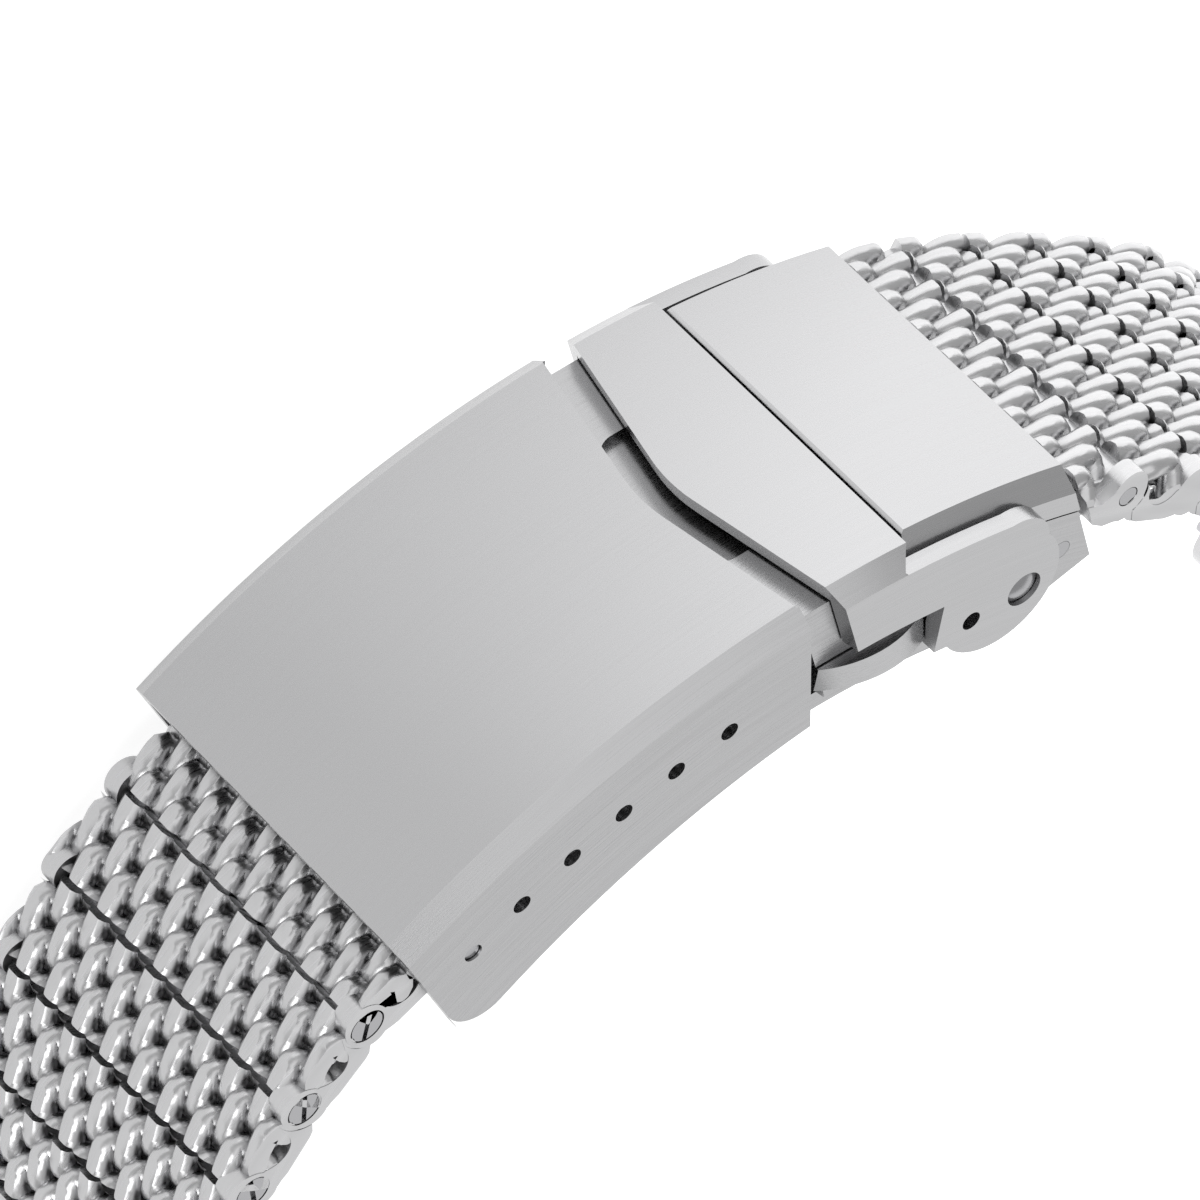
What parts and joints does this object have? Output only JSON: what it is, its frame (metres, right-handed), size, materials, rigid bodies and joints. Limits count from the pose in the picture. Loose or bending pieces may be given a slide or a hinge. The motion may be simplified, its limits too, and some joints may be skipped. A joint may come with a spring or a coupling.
{
  "type": "mesh watch band",
  "caption": "Heavy steel coil-mesh watch band with an arched fold-over clasp, V-shaped safety lever, push buttons and adjustment holes",
  "frame": {"origin": "on the edge of the cover that the band rests on, below the top of the arch at the depth of the adjustment holes", "axes": "+X along the band over the clasp towards the safety lever, +Y outwards from the wrist, +Z across the band, up from the table"},
  "size_m": [0.0802, 0.0541, 0.02],
  "materials": {
    "clasp_steel": "brushed along the band",
    "lever_steel": "brushed along the band",
    "mesh_steel": "satin, polished on the crests",
    "pin_steel": "turned and ground",
    "spring_steel": "drawn wire"
  },
  "bodies": {
    "cover": {"cover": "clasp_steel", "cover_hinge_pin": "pin_steel", "adjust_bar_tube": "pin_steel", "adjust_bar_spring": "spring_steel"},
    "middle_blade": {"middle_blade": "clasp_steel", "blade_hinge_pin": "pin_steel"},
    "outer_blade": {"outer_blade": "clasp_steel", "button_housing": "clasp_steel", "button_spring": "spring_steel", "end_block": "clasp_steel", "block_cap": "lever_steel", "blade_pin": "pin_steel", "lever_rivets": "pin_steel", "strand_b_pin": "pin_steel"},
    "safety_lever": {"safety_lever": "lever_steel"},
    "button_near": {"button_near": "lever_steel"},
    "button_far": {"button_far": "lever_steel"},
    "adjust_bar_tip_near": {"adjust_bar_tip_near": "pin_steel"},
    "adjust_bar_tip_far": {"adjust_bar_tip_far": "pin_steel"},
    "a_link_0": {"a_link_0": "mesh_steel", "a_screw_1": "pin_steel"},
    "a_link_1": {"a_link_1": "mesh_steel", "a_screw_2": "pin_steel"},
    "a_link_2": {"a_link_2": "mesh_steel", "a_screw_3": "pin_steel"},
    "a_link_3": {"a_link_3": "mesh_steel", "a_screw_4": "pin_steel"},
    "a_link_4": {"a_link_4": "mesh_steel", "a_screw_5": "pin_steel"},
    "a_mesh_1": {"a_mesh_1": "mesh_steel"},
    "a_mesh_2": {"a_mesh_2": "mesh_steel"},
    "a_mesh_3": {"a_mesh_3": "mesh_steel"},
    "a_mesh_4": {"a_mesh_4": "mesh_steel"},
    "a_mesh_5": {"a_mesh_5": "mesh_steel"},
    "a_mesh_6": {"a_mesh_6": "mesh_steel"},
    "a_lug_end": {"a_lug_end": "mesh_steel", "a_lug_tube": "pin_steel", "a_lug_spring": "spring_steel"},
    "b_link_0": {"b_link_0": "mesh_steel", "b_pin_1": "pin_steel"},
    "b_mesh_1": {"b_mesh_1": "mesh_steel"},
    "b_mesh_2": {"b_mesh_2": "mesh_steel"},
    "b_mesh_3": {"b_mesh_3": "mesh_steel"},
    "b_mesh_4": {"b_mesh_4": "mesh_steel"},
    "b_mesh_5": {"b_mesh_5": "mesh_steel"},
    "b_mesh_6": {"b_mesh_6": "mesh_steel"},
    "b_mesh_7": {"b_mesh_7": "mesh_steel"},
    "b_mesh_8": {"b_mesh_8": "mesh_steel"},
    "b_mesh_9": {"b_mesh_9": "mesh_steel"},
    "b_lug_end": {"b_lug_end": "mesh_steel", "b_lug_tube": "pin_steel", "b_lug_spring": "spring_steel"},
    "a_lug_tip_near": {"a_lug_tip_near": "pin_steel"},
    "a_lug_tip_far": {"a_lug_tip_far": "pin_steel"},
    "b_lug_tip_near": {"b_lug_tip_near": "pin_steel"},
    "b_lug_tip_far": {"b_lug_tip_far": "pin_steel"}
  },
  "joints": [
    {"name": "clasp_unfold", "type": "hinge", "parent": "cover", "child": "middle_blade", "pos_m": [0.00578, -0.00283, 0.01], "axis": [0, 0, 1], "range_deg": [0, 150]},
    {"name": "outer_blade_swing", "type": "hinge", "parent": "middle_blade", "child": "outer_blade", "pos_m": [-0.00825, -0.0043, 0.01], "axis": [0, 0, 1], "range_deg": [-150, 0]},
    {"name": "safety_lever_lift", "type": "hinge", "parent": "outer_blade", "child": "safety_lever", "pos_m": [0.0201, -0.00669, 0.01], "axis": [0, 0, -1], "range_deg": [0, 105]},
    {"name": "button_near_press", "type": "slide", "parent": "outer_blade", "child": "button_near", "axis": [0, 0, -1], "range_m": [0, 0.0008], "stiffness_N_per_m": 800, "springref_m": -0.0005},
    {"name": "button_far_press", "type": "slide", "parent": "outer_blade", "child": "button_far", "axis": [0, 0, 1], "range_m": [0, 0.0008], "stiffness_N_per_m": 800, "springref_m": -0.0005},
    {"name": "adjust_tip_near_press", "type": "slide", "parent": "cover", "child": "adjust_bar_tip_near", "axis": [0, 0, -1], "range_m": [0, 0.001], "stiffness_N_per_m": 1000, "springref_m": -0.001},
    {"name": "adjust_tip_far_press", "type": "slide", "parent": "cover", "child": "adjust_bar_tip_far", "axis": [0, 0, 1], "range_m": [0, 0.001], "stiffness_N_per_m": 1000, "springref_m": -0.001},
    {"name": "a_link_0_turn", "type": "hinge", "parent": "cover", "child": "a_link_0", "pos_m": [-0.01088, -0.00145, 0.01], "axis": [0, 0, 1], "range_deg": [-8, 10]},
    {"name": "a_link_1_turn", "type": "hinge", "parent": "a_link_0", "child": "a_link_1", "pos_m": [-0.01635, -0.0026, 0.01], "axis": [0, 0, 1], "range_deg": [-10, 4]},
    {"name": "a_link_2_turn", "type": "hinge", "parent": "a_link_1", "child": "a_link_2", "pos_m": [-0.02051, -0.0049, 0.01], "axis": [0, 0, 1], "range_deg": [-10, 4]},
    {"name": "a_link_3_turn", "type": "hinge", "parent": "a_link_2", "child": "a_link_3", "pos_m": [-0.02423, -0.00786, 0.01], "axis": [0, 0, 1], "range_deg": [-10, 4]},
    {"name": "a_link_4_turn", "type": "hinge", "parent": "a_link_3", "child": "a_link_4", "pos_m": [-0.0274, -0.01139, 0.01], "axis": [0, 0, 1], "range_deg": [-10, 4]},
    {"name": "a_mesh_1_turn", "type": "hinge", "parent": "a_link_4", "child": "a_mesh_1", "pos_m": [-0.02996, -0.01539, 0.01], "axis": [0, 0, 1], "range_deg": [-10, 4]},
    {"name": "a_mesh_2_turn", "type": "hinge", "parent": "a_mesh_1", "child": "a_mesh_2", "pos_m": [-0.03181, -0.01977, 0.01], "axis": [0, 0, 1], "range_deg": [-10, 4]},
    {"name": "a_mesh_3_turn", "type": "hinge", "parent": "a_mesh_2", "child": "a_mesh_3", "pos_m": [-0.03292, -0.02438, 0.01], "axis": [0, 0, 1], "range_deg": [-10, 4]},
    {"name": "a_mesh_4_turn", "type": "hinge", "parent": "a_mesh_3", "child": "a_mesh_4", "pos_m": [-0.03325, -0.02912, 0.01], "axis": [0, 0, 1], "range_deg": [-10, 4]},
    {"name": "a_mesh_5_turn", "type": "hinge", "parent": "a_mesh_4", "child": "a_mesh_5", "pos_m": [-0.0328, -0.03385, 0.01], "axis": [0, 0, 1], "range_deg": [-10, 4]},
    {"name": "a_mesh_6_turn", "type": "hinge", "parent": "a_mesh_5", "child": "a_mesh_6", "pos_m": [-0.03157, -0.03844, 0.01], "axis": [0, 0, 1], "range_deg": [-10, 4]},
    {"name": "a_lug_end_turn", "type": "hinge", "parent": "a_mesh_6", "child": "a_lug_end", "pos_m": [-0.0296, -0.04276, 0.01], "axis": [0, 0, 1], "range_deg": [-10, 4]},
    {"name": "b_link_0_turn", "type": "hinge", "parent": "outer_blade", "child": "b_link_0", "pos_m": [0.02293, -0.00776, 0.01], "axis": [0, 0, -1], "range_deg": [-5, 10]},
    {"name": "b_mesh_1_turn", "type": "hinge", "parent": "b_link_0", "child": "b_mesh_1", "pos_m": [0.02701, -0.00791, 0.01], "axis": [0, 0, -1], "range_deg": [-10, 4]},
    {"name": "b_mesh_2_turn", "type": "hinge", "parent": "b_mesh_1", "child": "b_mesh_2", "pos_m": [0.03042, -0.01121, 0.01], "axis": [0, 0, -1], "range_deg": [-10, 4]},
    {"name": "b_mesh_3_turn", "type": "hinge", "parent": "b_mesh_2", "child": "b_mesh_3", "pos_m": [0.03366, -0.01468, 0.01], "axis": [0, 0, -1], "range_deg": [-10, 4]},
    {"name": "b_mesh_4_turn", "type": "hinge", "parent": "b_mesh_3", "child": "b_mesh_4", "pos_m": [0.03672, -0.01832, 0.01], "axis": [0, 0, -1], "range_deg": [-10, 4]},
    {"name": "b_mesh_5_turn", "type": "hinge", "parent": "b_mesh_4", "child": "b_mesh_5", "pos_m": [0.03957, -0.02212, 0.01], "axis": [0, 0, -1], "range_deg": [-10, 4]},
    {"name": "b_mesh_6_turn", "type": "hinge", "parent": "b_mesh_5", "child": "b_mesh_6", "pos_m": [0.04173, -0.02635, 0.01], "axis": [0, 0, -1], "range_deg": [-10, 4]},
    {"name": "b_mesh_7_turn", "type": "hinge", "parent": "b_mesh_6", "child": "b_mesh_7", "pos_m": [0.04312, -0.03089, 0.01], "axis": [0, 0, -1], "range_deg": [-10, 4]},
    {"name": "b_mesh_8_turn", "type": "hinge", "parent": "b_mesh_7", "child": "b_mesh_8", "pos_m": [0.0437, -0.03561, 0.01], "axis": [0, 0, -1], "range_deg": [-10, 4]},
    {"name": "b_mesh_9_turn", "type": "hinge", "parent": "b_mesh_8", "child": "b_mesh_9", "pos_m": [0.04345, -0.04035, 0.01], "axis": [0, 0, -1], "range_deg": [-10, 4]},
    {"name": "b_lug_end_turn", "type": "hinge", "parent": "b_mesh_9", "child": "b_lug_end", "pos_m": [0.04238, -0.04498, 0.01], "axis": [0, 0, -1], "range_deg": [-10, 4]},
    {"name": "a_lug_tip_near_press", "type": "slide", "parent": "a_lug_end", "child": "a_lug_tip_near", "axis": [0, 0, -1], "range_m": [0, 0.001], "stiffness_N_per_m": 1000, "springref_m": -0.001},
    {"name": "a_lug_tip_far_press", "type": "slide", "parent": "a_lug_end", "child": "a_lug_tip_far", "axis": [0, 0, 1], "range_m": [0, 0.001], "stiffness_N_per_m": 1000, "springref_m": -0.001},
    {"name": "b_lug_tip_near_press", "type": "slide", "parent": "b_lug_end", "child": "b_lug_tip_near", "axis": [0, 0, -1], "range_m": [0, 0.001], "stiffness_N_per_m": 1000, "springref_m": -0.001},
    {"name": "b_lug_tip_far_press", "type": "slide", "parent": "b_lug_end", "child": "b_lug_tip_far", "axis": [0, 0, 1], "range_m": [0, 0.001], "stiffness_N_per_m": 1000, "springref_m": -0.001}
  ],
  "couplings": [
    {"joint": "outer_blade_swing", "follows": "clasp_unfold", "ratio": -1}
  ]
}
